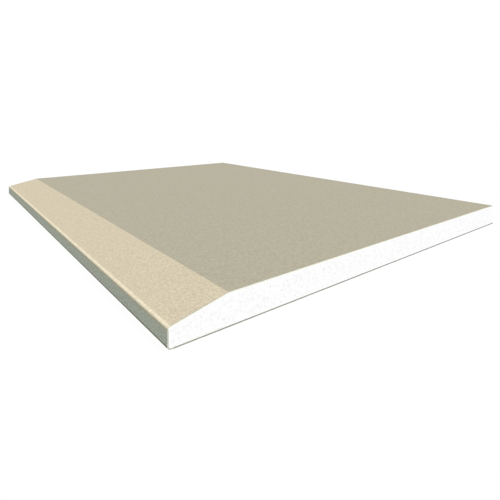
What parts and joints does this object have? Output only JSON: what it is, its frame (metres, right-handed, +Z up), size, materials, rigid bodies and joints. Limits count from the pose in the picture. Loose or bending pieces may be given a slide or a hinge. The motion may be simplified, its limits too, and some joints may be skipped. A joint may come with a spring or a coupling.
{
  "type": "drywall sheet",
  "caption": "Flat cut panel of drywall with one tapered, paper-wrapped long edge and square-cut white gypsum sides.",
  "frame": {"origin": "middle of the back, on the surface that the panel lies on", "axes": "+X across the panel from the tapered edge to the cut edge, +Y along the tapered edge, +Z up out of the face"},
  "size_m": [0.25, 0.334, 0.0125],
  "materials": {
    "gypsum": "matte, fine-grained cut plaster",
    "face_paper": "matte calendered paper, greyish tan with a cream tapered margin",
    "back_paper": "matte rough grey recycled paper"
  },
  "bodies": {
    "root": {"gypsum_core": "gypsum", "face_paper": "face_paper", "back_paper": "back_paper"}
  },
  "joints": []
}
